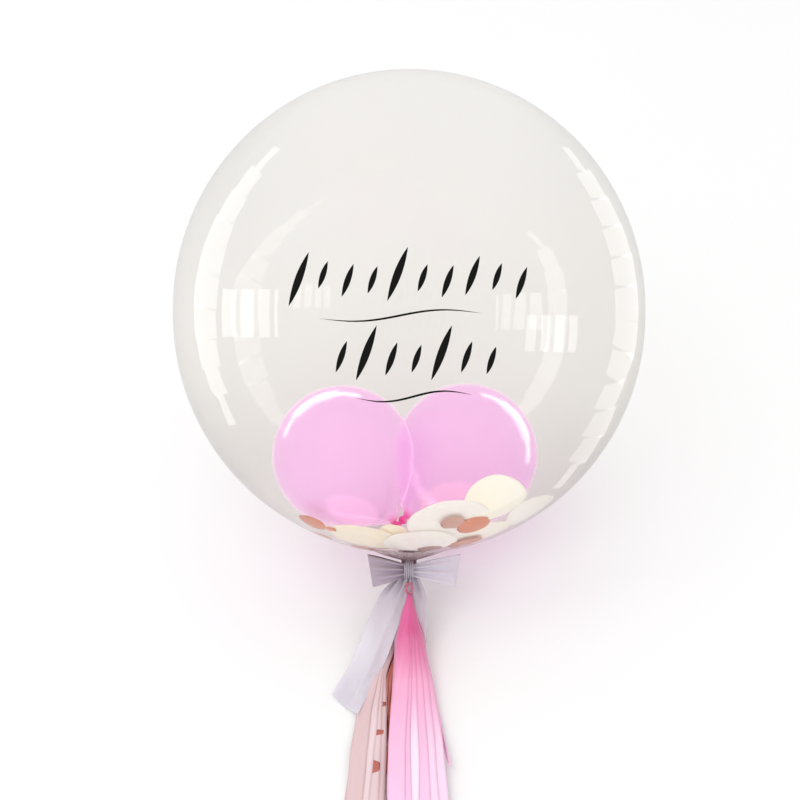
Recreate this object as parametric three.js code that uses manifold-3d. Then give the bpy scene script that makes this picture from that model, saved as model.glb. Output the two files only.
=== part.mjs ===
// Clear bubble balloon, lying loose on a floor: a see-through film balloon gathered at its neck, a flat
// ribbon tied round the neck in a bow, and three tassels of paper and foil strips laid out in front.
// Millimetres, +Z up. The origin is the middle of the small flat spot that the bubble rests on. The
// crown points up and back (+Y), the neck down and forward (-Y), and the tassels reach forward.
import * as THREE from "three";
import { mergeVertices } from "three/addons/utils/BufferGeometryUtils.js";
import { RoundedBoxGeometry } from "three/addons/geometries/RoundedBoxGeometry.js";
import Module from "manifold-3d";

const wasm = await Module();
wasm.setup();

// Sizes of the bubble
const bubbleRadius = 280; // at its widest
const crownRise = 3; // how much further the crown stands from the middle
const neckDrop = 10; // how much further the film is drawn out towards the neck
const neckLength = 20; // from the bottom of the bubble to the middle of the tie
const tieRadius = 8; // of the gathered film under the ribbon
const skirtLength = 16; // film left below the tie
const skirtRadius = 10; // at its cut end
const pleatCount = 12; // folds of the film round the neck
const pleatDepth = 0.14; // share of the film's radius there
const flatDepth = 2; // how far the floor flattens the bubble
const neckDip = THREE.MathUtils.degToRad(45); // of the neck's line below the level

// Sizes of the ribbon
const ribbonWidth = 38;
const ribbonThickness = 1.2;
const leftLoop = 46; // from the knot's middle to the fold
const rightLoop = 58;
const loopPuff = 9; // half of a loop's depth
const knotWidth = 12;
const knotDepth = 12;
const knotHeight = 22;
const knotRounding = 3;
const bandHeight = 14; // of the ribbon wrapped round the neck
const bandThickness = 2.6;
const sideTailForward = 148; // from the knot to the tail's cut end
const sideTailAcross = -84;
const straightTailForward = 140;
const straightTailAcross = -6;

// Sizes of the tassels
const landing = 150; // from the knot to where everything that hangs from it has come down
const stripThickness = 2;
const loopTube = 1.4; // radius of a tassel's twisted loop
const frontLoopHeight = 13;
const frontLoopWidth = 7;
const neckLoopSpacing = 8; // between the two loops slipped over the neck
const pinkReach = 385; // from a tassel's head to its longest tip
const blushReach = 372;
const foilReach = 350;
const pinkWidth = 15; // of a strip
const blushWidth = 14;
const foilWidth = 8;
const pinkSpreadDegrees = [-0.6, 7.4]; // from straight ahead, of the outer strips' middles
const blushSpreadDegrees = [-12.5, -7.2];
const foilSpreadDegrees = [-7.1, -5.7];
const frontTwistTop = 3.4; // radii of the twist below a tassel's loop, and how far it reaches forward
const frontTwistBottom = 6.5;
const frontTwistForward = 26;
const neckTwistTop = 2.4;
const neckTwistBottom = 4.5;
const neckTwistForward = 6;

// Clearances
const gap = 0.3; // between touching pieces
const layerGap = 0.8; // between strips and ribbons that lie on each other

// Helpers that turn surfaces into solids and back
function solid(geometry) {
  const bare = new THREE.BufferGeometry();
  bare.setAttribute("position", geometry.getAttribute("position"));
  bare.setIndex(geometry.getIndex());
  const merged = mergeVertices(bare, 1e-3);
  return new wasm.Manifold(
    new wasm.Mesh({
      numProp: 3,
      vertProperties: merged.attributes.position.array,
      triVerts: new Uint32Array(merged.index.array),
    }),
  );
}

function geometryOf(made) {
  const mesh = made.getMesh();
  const geometry = new THREE.BufferGeometry();
  geometry.setAttribute("position", new THREE.BufferAttribute(mesh.vertProperties, 3));
  geometry.setIndex(new THREE.BufferAttribute(mesh.triVerts, 1));
  return geometry;
}

function fuse(solids) {
  const [first, ...rest] = solids;
  return rest.reduce((whole, piece) => whole.add(piece), first);
}

// Moves every vertex of a geometry to where place(vertex) puts it.
function reshape(geometry, place) {
  const position = geometry.getAttribute("position");
  const vertex = new THREE.Vector3();
  for (let i = 0; i < position.count; i += 1) {
    vertex.fromBufferAttribute(position, i);
    place(vertex);
    position.setXYZ(i, vertex.x, vertex.y, vertex.z);
  }
  return geometry;
}

function namedMesh(name, geometry, color, finish) {
  const mesh = new THREE.Mesh(geometry, new THREE.MeshStandardMaterial({ color, ...finish }));
  mesh.name = name;
  return mesh;
}

// The bubble's frame: upright about Z, with the middle of the bubble at its origin
const bottom = -(bubbleRadius + neckDrop);
const tieHeight = bottom - neckLength;
const tieTop = tieHeight + knotHeight / 2 + gap;
const tieEnd = tieHeight - knotHeight / 2 - gap;
const shoulderAngle = THREE.MathUtils.degToRad(172); // from the crown to where the neck starts

// Distance of the film from the bubble's middle, at an angle from the crown.
function bubbleReach(angle) {
  const lean = Math.cos(angle);
  if (lean > 0) return bubbleRadius + crownRise * lean ** 2;
  return bubbleRadius + neckDrop * Math.abs(lean) ** 1.2;
}

function bubbleProfile() {
  const rings = 24;
  const arc = [];
  for (let i = 0; i <= rings; i += 1) {
    const angle = (shoulderAngle * i) / rings;
    const reach = bubbleReach(angle);
    arc.push(new THREE.Vector2(reach * Math.sin(angle), reach * Math.cos(angle)));
  }
  const shoulder = arc[rings];
  const neck = new THREE.CubicBezierCurve(
    shoulder,
    new THREE.Vector2(shoulder.x / 2, bottom),
    new THREE.Vector2(tieRadius, (bottom + tieTop) / 2),
    new THREE.Vector2(tieRadius, tieTop),
  );
  return [
    ...arc,
    ...neck.getPoints(4).slice(1),
    new THREE.Vector2(tieRadius, tieEnd),
    new THREE.Vector2(skirtRadius, tieEnd - skirtLength),
    new THREE.Vector2(0, tieEnd - skirtLength),
  ].reverse();
}

// The film is smooth above the neck, and folds into pleats from near its bottom down to the tie.
function pleat(vertex) {
  const start = bottom * 0.93;
  const end = tieTop + gap;
  if (vertex.z > start || vertex.z < end) return;
  const depth = pleatDepth * Math.sin(Math.PI * ((start - vertex.z) / (start - end)) ** 2);
  const grow = 1 + depth * Math.cos(pleatCount * Math.atan2(vertex.x, vertex.y));
  vertex.x *= grow;
  vertex.y *= grow;
}

// The lowest point of the leaning bubble: how far it is behind the bubble's middle, and below it.
function lowestPoint() {
  const low = { back: 0, below: 0 };
  for (let angle = Math.PI / 2; angle < shoulderAngle; angle += 0.004) {
    const out = bubbleReach(angle) * Math.sin(angle);
    const down = -bubbleReach(angle) * Math.cos(angle);
    const below = down * Math.sin(neckDip) + out * Math.cos(neckDip);
    if (below > low.below) {
      low.below = below;
      low.back = out * Math.sin(neckDip) - down * Math.cos(neckDip);
    }
  }
  return low;
}

const foot = lowestPoint();
const leaning = new THREE.Group();
leaning.rotation.x = neckDip - Math.PI / 2;
leaning.position.set(0, -foot.back, foot.below - flatDepth);
leaning.updateMatrix();
const toFloorFrame = leaning.matrix;
const toBubbleFrame = leaning.matrix.clone().invert();

// A point given in the bubble's frame, as it lies in the floor's frame.
function lying(x, y, z) {
  return new THREE.Vector3(x, y, z).applyMatrix4(toFloorFrame);
}

function makeBubble() {
  const turns = 48;
  const shape = new THREE.LatheGeometry(bubbleProfile(), turns);
  shape.rotateX(Math.PI / 2);
  reshape(shape, pleat);
  const room = 4 * bubbleRadius;
  const aboveFloor = new THREE.BoxGeometry(room, room, room);
  aboveFloor.translate(0, 0, room / 2);
  aboveFloor.applyMatrix4(toBubbleFrame);
  const cut = solid(shape).intersect(solid(aboveFloor));
  return namedMesh("bubble", geometryOf(cut), 0xf1eee9, {
    roughness: 0.04,
    metalness: 0,
    transparent: true,
    opacity: 0.3,
  });
}

// A line that leaves a head, comes down to a base height at the landing and goes on to its tip.
class DrapedLine extends THREE.Curve {
  constructor(head, tip, landingY, base) {
    super();
    this.head = head;
    this.tip = tip;
    this.landingY = landingY;
    this.base = base;
  }

  getPoint(t, target = new THREE.Vector3()) {
    target.lerpVectors(this.head, this.tip, t);
    const toGo = (target.y - this.landingY) / (this.head.y - this.landingY);
    if (toGo > 0) {
      target.z = this.base + (this.head.z - this.base) * toGo ** 2;
    } else {
      const beyond = (this.landingY - target.y) / (this.landingY - this.tip.y);
      target.z = THREE.MathUtils.lerp(this.base, this.tip.z, beyond);
    }
    return target;
  }
}

// A flat strip that follows a line with its face up. widthAt(share) is its width along the line.
function stripAlong(line, steps, thickness, widthAt) {
  const up = new THREE.Vector3(0, 0, 1);
  const side = new THREE.Vector3();
  const face = new THREE.Vector3();
  return reshape(new THREE.BoxGeometry(1, 1, thickness, 1, steps, 1), (vertex) => {
    const share = THREE.MathUtils.clamp(vertex.y + 0.5, 0, 1);
    const along = line.getTangentAt(share);
    side.crossVectors(along, up).normalize();
    face.crossVectors(side, along);
    const across = side.multiplyScalar(vertex.x * widthAt(share));
    const through = face.multiplyScalar(vertex.z);
    vertex.copy(line.getPointAt(share)).add(across).add(through);
  });
}

const knotFront = -(tieRadius + gap + bandThickness + knotDepth);
const knotMiddle = new THREE.Vector3(0, knotFront + knotDepth / 2, tieHeight);
const landingY = lying(0, 0, tieHeight).y - landing;

// A loop of the bow, in the bubble's frame: the ribbon goes out along X, folds and comes back.
function makeBowLoop(length, side) {
  const pinch = (0.8 * knotHeight) / ribbonWidth;
  const prism = (start, end, puff, width) => {
    const outline = new THREE.Shape();
    const bulge = start + 0.4 * (end - start);
    outline.moveTo(start, 0);
    outline.bezierCurveTo(bulge, puff, end, 1.5 * puff, end, 0);
    outline.bezierCurveTo(end, -1.5 * puff, bulge, -puff, start, 0);
    const swept = new THREE.ExtrudeGeometry(outline, {
      depth: width,
      bevelEnabled: false,
      curveSegments: 10,
    });
    swept.translate(0, 0, -width / 2);
    return reshape(swept, (vertex) => {
      const out = THREE.MathUtils.smoothstep(vertex.x, 0, 0.8 * length);
      vertex.z *= THREE.MathUtils.lerp(pinch, 1, out);
    });
  };
  const whole = prism(0, length, loopPuff, ribbonWidth);
  const hollow = prism(
    knotWidth / 2 + ribbonThickness,
    length - ribbonThickness,
    loopPuff - 2 * ribbonThickness,
    2 * ribbonWidth,
  );
  [whole, hollow].forEach((piece) => {
    if (side < 0) piece.rotateZ(Math.PI);
    piece.translate(knotMiddle.x, knotMiddle.y, knotMiddle.z);
  });
  return solid(whole).subtract(solid(hollow));
}

// A tail of the ribbon, in the floor's frame, from the knot's underside to its cut end.
function makeTail(start, across, forward, height) {
  const head = lying(start, knotMiddle.y, tieHeight - 0.3 * knotHeight);
  const level = height + ribbonThickness / 2;
  const tip = new THREE.Vector3(head.x + across, head.y - forward, level);
  const gathered = 0.7 * knotWidth;
  const width = (share) =>
    THREE.MathUtils.lerp(gathered, ribbonWidth, THREE.MathUtils.smoothstep(share, 0, 0.45));
  return stripAlong(new DrapedLine(head, tip, landingY, level), 14, ribbonThickness, width);
}

const straightTailHeight = stripThickness + layerGap; // it lies on the foil strips

function makeRibbon() {
  const inner = tieRadius + gap;
  const bandProfile = [
    new THREE.Vector2(inner, -bandHeight / 2),
    new THREE.Vector2(inner + bandThickness, -bandHeight / 2),
    new THREE.Vector2(inner + bandThickness, bandHeight / 2),
    new THREE.Vector2(inner, bandHeight / 2),
    new THREE.Vector2(inner, -bandHeight / 2),
  ];
  const band = new THREE.LatheGeometry(bandProfile, 24);
  band.rotateX(Math.PI / 2);
  band.translate(0, 0, tieHeight);
  const knot = new RoundedBoxGeometry(
    knotWidth,
    knotDepth + bandThickness,
    knotHeight,
    2,
    knotRounding,
  );
  knot.translate(0, knotMiddle.y + bandThickness / 2, tieHeight);
  const apart = 0.1 * knotWidth;
  const tails = [
    makeTail(-apart, sideTailAcross, sideTailForward, 0),
    makeTail(apart, straightTailAcross, straightTailForward, straightTailHeight),
  ];
  tails.forEach((tail) => tail.applyMatrix4(toBubbleFrame));
  const ribbon = fuse([
    ...[knot, band, ...tails].map(solid),
    makeBowLoop(leftLoop, -1),
    makeBowLoop(rightLoop, 1),
  ]);
  return namedMesh("ribbon_bow", geometryOf(ribbon), 0xd3c7d6, { roughness: 0.45, metalness: 0 });
}

// A tassel: its loop, the twist below it, and strips that fan out over the floor. Places are measured
// from the head, where the twist starts. base is the height of the strips at the landing, and from
// there they come down to the floor in layers.
function makeTassel({ name, head, loop, twist, fan, base, color, finish }) {
  const twistEnd = new THREE.Vector3(0, -twist.forward, -twist.drop * head.z);
  const cone = new THREE.CylinderGeometry(twist.top, twist.bottom, twistEnd.length(), 10);
  const downward = new THREE.Vector3(0, -1, 0);
  cone.applyQuaternion(
    new THREE.Quaternion().setFromUnitVectors(downward, twistEnd.clone().normalize()),
  );
  cone.translate(0, twistEnd.y / 2, twistEnd.z / 2);
  const pieces = [loop, cone];
  const start = twistEnd.clone().multiplyScalar(0.3);
  const rest = stripThickness / 2 - head.z;
  for (let i = 0; i < fan.count; i += 1) {
    const layer = (i % fan.layers) * (stripThickness + layerGap / 2);
    const cutShort = 0.05 * ((2 * i) % 3);
    const forward = fan.reach * (1 - cutShort);
    const degrees = THREE.MathUtils.lerp(fan.spread[0], fan.spread[1], i / (fan.count - 1));
    const aside = forward * Math.tan(THREE.MathUtils.degToRad(degrees));
    const tip = new THREE.Vector3(aside, -forward, layer + rest);
    const line = new DrapedLine(start, tip, landingY - head.y, base + rest);
    const widthAt = (t) => THREE.MathUtils.lerp(1.2 * twist.top, fan.width, Math.min(1, 2.5 * t));
    pieces.push(stripAlong(line, 12, stripThickness, widthAt));
  }
  const mesh = namedMesh(name, geometryOf(fuse(pieces.map(solid))), color, finish);
  mesh.position.copy(head);
  return mesh;
}

// The tassel in front, whose small loop hangs from the knot.
function makeFrontTassel() {
  const rise = frontLoopHeight / 2;
  const head = lying(0, knotFront - 2 * loopTube, tieEnd - frontLoopHeight - 2 * loopTube);
  const loop = new THREE.TorusGeometry(frontLoopWidth / 2, loopTube, 8, 16);
  loop.scale(1, frontLoopHeight / frontLoopWidth, 1);
  loop.rotateX(neckDip);
  loop.translate(0, rise * Math.cos(neckDip), rise * Math.sin(neckDip));
  return makeTassel({
    name: "pink_tassel",
    head,
    loop,
    twist: {
      top: frontTwistTop,
      bottom: frontTwistBottom,
      forward: frontTwistForward,
      drop: 0.35,
    },
    fan: { count: 9, layers: 3, reach: pinkReach, spread: pinkSpreadDegrees, width: pinkWidth },
    base: straightTailHeight + ribbonThickness + layerGap,
    color: 0xf7a5cf,
    finish: { roughness: 0.8, metalness: 0 },
  });
}

// A tassel whose loop is slipped over the film below the tie, with its head on the underside.
function makeNeckTassel({ name, along, side, fan, color, finish }) {
  const height = tieEnd - along;
  const film = THREE.MathUtils.lerp(tieRadius, skirtRadius, along / skirtLength);
  const ring = film + gap + loopTube;
  const headRing = ring + 2 * loopTube;
  const head = lying(side, Math.sqrt(headRing ** 2 - side ** 2), height);
  const loop = new THREE.TorusGeometry(ring, loopTube, 8, 24);
  loop.applyMatrix4(new THREE.Matrix4().extractRotation(toFloorFrame));
  const middle = lying(0, 0, height).sub(head);
  loop.translate(middle.x, middle.y, middle.z);
  return makeTassel({
    name,
    head,
    loop,
    twist: {
      top: neckTwistTop,
      bottom: neckTwistBottom,
      forward: neckTwistForward,
      drop: 0.45,
    },
    fan,
    base: 0,
    color,
    finish,
  });
}

leaning.add(makeBubble(), makeRibbon());

const firstLoopAlong = neckLoopSpacing / 2;
const balloon = new THREE.Group();
balloon.add(
  leaning,
  makeFrontTassel(),
  makeNeckTassel({
    name: "blush_tassel",
    along: firstLoopAlong,
    side: -0.85 * tieRadius,
    fan: { count: 7, layers: 3, reach: blushReach, spread: blushSpreadDegrees, width: blushWidth },
    color: 0xeccbd2,
    finish: { roughness: 0.8, metalness: 0 },
  }),
  makeNeckTassel({
    name: "foil_tassel",
    along: firstLoopAlong + neckLoopSpacing,
    side: 0.75 * tieRadius,
    fan: { count: 3, layers: 2, reach: foilReach, spread: foilSpreadDegrees, width: foilWidth },
    color: 0xb9735f,
    finish: { roughness: 0.25, metalness: 0.9 },
  }),
);

export default balloon;
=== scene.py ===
"""Clear bubble balloon lying on a pale floor: the film, what is sealed in it, its bow and its tassels."""
import math
import random
from collections import namedtuple

import bmesh
import bpy
from bpy.props import FloatProperty, FloatVectorProperty, IntProperty
from mathutils import Matrix, Vector, noise
from mathutils.geometry import interpolate_bezier


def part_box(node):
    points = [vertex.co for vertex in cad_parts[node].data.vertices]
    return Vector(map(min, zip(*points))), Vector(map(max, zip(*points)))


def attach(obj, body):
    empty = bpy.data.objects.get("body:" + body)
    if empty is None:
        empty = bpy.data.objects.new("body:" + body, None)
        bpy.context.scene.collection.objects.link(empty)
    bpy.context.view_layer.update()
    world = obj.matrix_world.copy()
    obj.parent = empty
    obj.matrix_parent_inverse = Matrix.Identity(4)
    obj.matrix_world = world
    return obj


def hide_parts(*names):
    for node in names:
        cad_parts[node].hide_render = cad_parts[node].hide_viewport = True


bl_info = {
    "name": "Clear bubble balloon",
    "version": (1, 0, 0),
    "blender": (4, 5, 0),
    "location": "3D View > Sidebar > Balloon",
    "description": "Dresses the bubble balloon: film, inner balloons, discs, strokes, bow and tassels",
    "category": "Object",
}

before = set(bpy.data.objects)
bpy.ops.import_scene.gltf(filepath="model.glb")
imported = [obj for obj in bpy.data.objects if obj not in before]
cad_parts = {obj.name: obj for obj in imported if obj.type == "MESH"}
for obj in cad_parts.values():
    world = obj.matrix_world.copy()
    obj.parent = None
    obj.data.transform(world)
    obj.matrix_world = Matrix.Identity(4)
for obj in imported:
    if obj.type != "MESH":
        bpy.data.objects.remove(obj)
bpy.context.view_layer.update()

# The bubble, in metres. Its frame has Z towards the crown, -Y towards the side with the strokes, and
# the middle of the bubble at its origin.
CROWN_RISE = 0.003
NECK_DROP = 0.010
NECK_LENGTH = 0.020
TIE_RADIUS = 0.008
SKIRT_LENGTH = 0.016
SKIRT_RADIUS = 0.010
KNOT_HEIGHT = 0.022
KNOT_DEPTH = 0.012
BAND_THICKNESS = 0.0026
GAP = 0.0003
FLAT_DEPTH = 0.002
SHOULDER_ANGLE = math.radians(172)
NECK_DIP = math.radians(45)
PLEAT_COUNT = 12
PLEAT_DEPTH = 0.14
LOWEST_SHOWN = 0.0002  # nothing comes closer to the floor

BUBBLE_LOW, BUBBLE_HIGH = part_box("bubble")
RADIUS = round((BUBBLE_HIGH.x - BUBBLE_LOW.x) / 2, 3)
BOTTOM = -(RADIUS + NECK_DROP)
TIE_HEIGHT = BOTTOM - NECK_LENGTH
TIE_TOP = TIE_HEIGHT + KNOT_HEIGHT / 2 + GAP
TIE_END = TIE_HEIGHT - KNOT_HEIGHT / 2 - GAP
KNOT_FRONT = -(TIE_RADIUS + GAP + BAND_THICKNESS + KNOT_DEPTH)
KNOT_MIDDLE = Vector((0, KNOT_FRONT + KNOT_DEPTH / 2, TIE_HEIGHT))


def film_reach(angle):
    """Distance of the film from the bubble's middle, at an angle from the crown."""
    lean = math.cos(angle)
    if lean > 0:
        return RADIUS + CROWN_RISE * lean**2
    return RADIUS + NECK_DROP * abs(lean) ** 1.2


def bubble_place():
    """Where the leaning bubble's middle is, above the middle of its flat spot."""
    low = Vector((0, 0, 0))
    steps = 600
    for step in range(steps):
        angle = math.pi / 2 + (SHOULDER_ANGLE - math.pi / 2) * step / steps
        out = film_reach(angle) * math.sin(angle)
        down = -film_reach(angle) * math.cos(angle)
        below = down * math.sin(NECK_DIP) + out * math.cos(NECK_DIP)
        if below > low.z:
            low = Vector((0, out * math.sin(NECK_DIP) - down * math.cos(NECK_DIP), below))
    return Vector((0, -low.y, low.z - FLAT_DEPTH))


LEANING = Matrix.Translation(bubble_place()) @ Matrix.Rotation(NECK_DIP - math.pi / 2, 4, "X")
TURNED = LEANING.to_3x3()
UP = Vector((0, 0, 1))


def lying(x, y, z):
    """A point given in the bubble's frame, as it lies on the floor."""
    return LEANING @ Vector((x, y, z))


LANDING = 0.150
LANDING_Y = lying(0, 0, TIE_HEIGHT).y - LANDING  # where what hangs from the knot has come down

# Small helpers


def mix(low, high, share):
    return low + (high - low) * share


def clamp(value, low=0.0, high=1.0):
    return max(low, min(high, value))


def ease(value, start=0.0, end=1.0):
    """0 at start and 1 at end, with a smooth change between them."""
    share = clamp((value - start) / (end - start))
    return share * share * (3 - 2 * share)


def between(stations, value):
    """The numbers that a list of (place, numbers...) stations gives at a place, blended smoothly."""
    for before, after in zip(stations, stations[1:]):
        if value <= after[0]:
            share = ease(value, before[0], after[0])
            linear = clamp((value - before[0]) / (after[0] - before[0]))
            blend = mix(linear, share, 0.35)
            return tuple(mix(low, high, blend) for low, high in zip(before[1:], after[1:]))
    return stations[-1][1:]


# Materials


class Number:
    """A number in a material. Sums on it add Math nodes."""

    def __init__(self, finish, socket):
        self.finish = finish
        self.socket = socket

    def _math(self, operation, *values):
        return self.finish.number("ShaderNodeMath", {"operation": operation}, dict(enumerate(values)))

    def __add__(self, other):
        return self._math("ADD", self, other)

    def __radd__(self, other):
        return self._math("ADD", other, self)

    def __sub__(self, other):
        return self._math("SUBTRACT", self, other)

    def __rsub__(self, other):
        return self._math("SUBTRACT", other, self)

    def __mul__(self, other):
        return self._math("MULTIPLY", self, other)

    def __rmul__(self, other):
        return self._math("MULTIPLY", other, self)

    def __pow__(self, other):
        return self._math("POWER", self, other)


class Finish:
    """A material in the making. Every node comes from its node method."""

    def __init__(self, name):
        self.material = bpy.data.materials.new(name)
        self.material.use_nodes = True
        self.tree = self.material.node_tree
        self.tree.nodes.clear()

    def node(self, kind, settings=None, inputs=None):
        made = self.tree.nodes.new(kind)
        for name, value in (settings or {}).items():
            if name == "stops":
                self._set_stops(made.color_ramp, value)
            else:
                setattr(made, name, value)
        for name, value in (inputs or {}).items():
            value = getattr(value, "socket", value)
            if isinstance(value, bpy.types.NodeSocket):
                self.tree.links.new(value, made.inputs[name])
            else:
                made.inputs[name].default_value = value
        return made

    @staticmethod
    def _set_stops(ramp, stops):
        while len(ramp.elements) < len(stops):
            ramp.elements.new(1.0)
        for element, (position, color) in zip(ramp.elements, stops):
            element.position = position
            element.color = (*color, 1.0)

    def number(self, kind, settings=None, inputs=None, output=0):
        return Number(self, self.node(kind, settings, inputs).outputs[output])

    def color(self, factor, first, second, blend_type="MIX"):
        """Two colours mixed by a factor."""
        settings = {"data_type": "RGBA", "blend_type": blend_type}
        first, second = (c if hasattr(c, "node") else (*c, 1.0) for c in (first, second))
        return self.node("ShaderNodeMix", settings, {0: factor, 6: first, 7: second}).outputs[2]

    def places(self, scale=(1.0, 1.0, 1.0), source="Object"):
        """The piece's own coordinates in metres, stretched by a scale."""
        coordinates = self.node("ShaderNodeTexCoord").outputs[source]
        return self.node("ShaderNodeMapping", {}, {"Vector": coordinates, "Scale": scale}).outputs[0]

    def cloud(self, scale, detail=3.0, vector=None):
        """Soft noise from 0 to 1."""
        vector = self.places() if vector is None else vector
        inputs = {"Vector": vector, "Scale": scale, "Detail": detail}
        return self.number("ShaderNodeTexNoise", {}, inputs)

    def lines(self, scale, direction, vector):
        """Even lines from 0 to 1 across a direction."""
        settings = {"wave_type": "BANDS", "bands_direction": direction}
        return self.number("ShaderNodeTexWave", settings, {"Vector": vector, "Scale": scale}, output="Fac")

    def marked(self, name):
        """A number stored on the mesh."""
        return self.number("ShaderNodeAttribute", {"attribute_name": name}, {}, output="Fac")

    def ramp(self, factor, stops):
        return self.node("ShaderNodeValToRGB", {"stops": stops}, {"Fac": factor}).outputs["Color"]

    def bump(self, height, strength, distance):
        inputs = {"Height": height, "Strength": strength, "Distance": distance}
        return self.node("ShaderNodeBump", {}, inputs).outputs["Normal"]

    def facing(self, blend=0.5):
        """0 where the surface faces the eye, rising to 1 at its edge."""
        return self.number("ShaderNodeLayerWeight", {}, {"Blend": blend}, output="Facing")

    def surface(self, **inputs):
        named = {name.replace("_", " "): value for name, value in inputs.items()}
        return self.node("ShaderNodeBsdfPrincipled", {}, named).outputs[0]

    def see_through(self, factor, shader, tint=(1.0, 1.0, 1.0)):
        """A shader over clear nothing: factor 0 shows only what is behind, tinted."""
        clear = self.node("ShaderNodeBsdfTransparent", {}, {"Color": (*tint, 1.0)}).outputs[0]
        return self.node("ShaderNodeMixShader", {}, {0: factor, 1: clear, 2: shader}).outputs[0]

    def finished(self, shader):
        self.node("ShaderNodeOutputMaterial", {}, {"Surface": shader})
        return self.material


# Shapes


class Route:
    """A line through points, walked by share of its length."""

    def __init__(self, points):
        self.points = points
        self.walked = [0.0]
        for before, after in zip(points, points[1:]):
            self.walked.append(self.walked[-1] + (after - before).length)
        self.length = self.walked[-1]

    def at(self, share):
        """The point there, and the direction along the line."""
        goal = clamp(share) * self.length
        last = len(self.points) - 2
        step = 0
        while step < last and self.walked[step + 1] < goal:
            step += 1
        before, after = self.points[step], self.points[step + 1]
        part = (goal - self.walked[step]) / max(self.walked[step + 1] - self.walked[step], 1e-9)
        ahead = self.points[min(step + 2, last + 1)] - before
        behind = after - self.points[max(step - 1, 0)]
        return before.lerp(after, part), behind.lerp(ahead, part).normalized()


def bezier(points, count):
    return interpolate_bezier(*(Vector(point) for point in points), count)


def add_grid(mesh, across, along, place, size=(1.0, 1.0), marks=None):
    """A grid of cells whose vertices go where place(u, v) says, u across and v along from 0 to 1.
    Its UV map is in metres, and marks are numbers stored on its vertices, each a number or f(u, v)."""
    made = bmesh.ops.create_grid(mesh, x_segments=across, y_segments=along, size=0.5)["verts"]
    uv = mesh.loops.layers.uv.verify()
    shares = {vertex: (vertex.co.x + 0.5, vertex.co.y + 0.5) for vertex in made}
    for vertex in made:
        u, v = shares[vertex]
        for loop in vertex.link_loops:
            loop[uv].uv = (u * size[0], v * size[1])
        for layer, value in (marks or {}).items():
            vertex[layer] = value(u, v) if callable(value) else value
        vertex.co = place(u, v)


def spun(mesh, profile, turns):
    """A full turn of a profile, given as (radius, height) points, about Z."""
    line = [mesh.verts.new((radius, 0, height)) for radius, height in profile]
    edges = [mesh.edges.new(pair) for pair in zip(line, line[1:])]
    bmesh.ops.spin(
        mesh,
        geom=line + edges,
        cent=(0, 0, 0),
        axis=(0, 0, 1),
        angle=2 * math.pi,
        steps=turns,
        use_merge=True,
    )
    bmesh.ops.remove_doubles(mesh, verts=mesh.verts, dist=1e-6)
    bmesh.ops.recalc_face_normals(mesh, faces=mesh.faces)


def piece(name, mesh, material, closed=True):
    """The finished mesh as an object that rides on the part."""
    if closed:
        bmesh.ops.recalc_face_normals(mesh, faces=mesh.faces)
    for face in mesh.faces:
        face.smooth = True
    data = bpy.data.meshes.new(name)
    mesh.to_mesh(data)
    mesh.free()
    data.materials.append(material)
    made = bpy.data.objects.new(name, data)
    bpy.context.scene.collection.objects.link(made)
    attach(made, "root")
    return made


def give_thickness(made, thickness):
    wall = made.modifiers.new("thickness", "SOLIDIFY")
    wall.thickness = thickness
    wall.offset = 0.0


def color_setting(name, description, default):
    """A colour that the panel shows."""
    return FloatVectorProperty(name=name, description=description, subtype="COLOR", default=default)


def length_setting(name, description, default):
    """A length in metres that the panel shows."""
    return FloatProperty(name=name, description=description, subtype="DISTANCE", default=default)


# The film


class FilmSettings(bpy.types.PropertyGroup):
    turns: IntProperty(name="Turns", description="Faces round the bubble", default=192, min=48)
    rings: IntProperty(name="Rings", description="Faces from the crown to the neck", default=80, min=24)
    tint: color_setting("Tint", "What one layer of film lets through", (0.940, 0.929, 0.912))
    edge: color_setting("Edge", "Colour of the film where it is seen along its surface", (0.33, 0.32, 0.31))
    # Painted shade: the film gathered at the neck is coloured dark mauve for the shade in its folds and the
    # ribbon behind them.
    painted_neck_shade: color_setting("Bunched", "Colour of the film gathered at the neck", (0.40, 0.25, 0.30))
    crease: length_setting("Crease", "Depth of the fine creases that run up from the neck", 0.0009)


# Where pleats, creases and the gathered look start on the way down, as shares of the bubble's drop
PLEATS_START = 0.93
CREASES_START = 0.80
GATHERS_FROM = 0.985
GATHERED_AT = 1.015
RUFFLE = 0.0016  # how far the skirt's cut end waves, in metres


def film_profile(rings):
    """The film's outline from the crown, round the bubble and down through the tie to its cut end."""
    outline = []
    for ring in range(rings + 1):
        angle = SHOULDER_ANGLE * ring / rings
        outline.append((film_reach(angle) * math.sin(angle), film_reach(angle) * math.cos(angle)))
    outline[0] = (0.0, film_reach(0.0))
    neck_steps = 14
    tie_steps = 5
    skirt_steps = 8
    shoulder = outline[-1]
    neck = bezier(
        (
            (*shoulder, 0),
            (shoulder[0] * 0.85, BOTTOM, 0),
            (shoulder[0] * 0.45, mix(BOTTOM, TIE_TOP, 0.72), 0),
            (TIE_RADIUS, TIE_TOP, 0),
        ),
        neck_steps,
    )
    outline += [(point.x, point.y) for point in neck[1:]]
    outline += [(TIE_RADIUS, mix(TIE_TOP, TIE_END, (i + 1) / tie_steps)) for i in range(tie_steps)]
    for step in range(1, skirt_steps + 1):
        share = step / skirt_steps
        outline.append((mix(TIE_RADIUS, SKIRT_RADIUS, share), TIE_END - SKIRT_LENGTH * share))
    return outline


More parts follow.
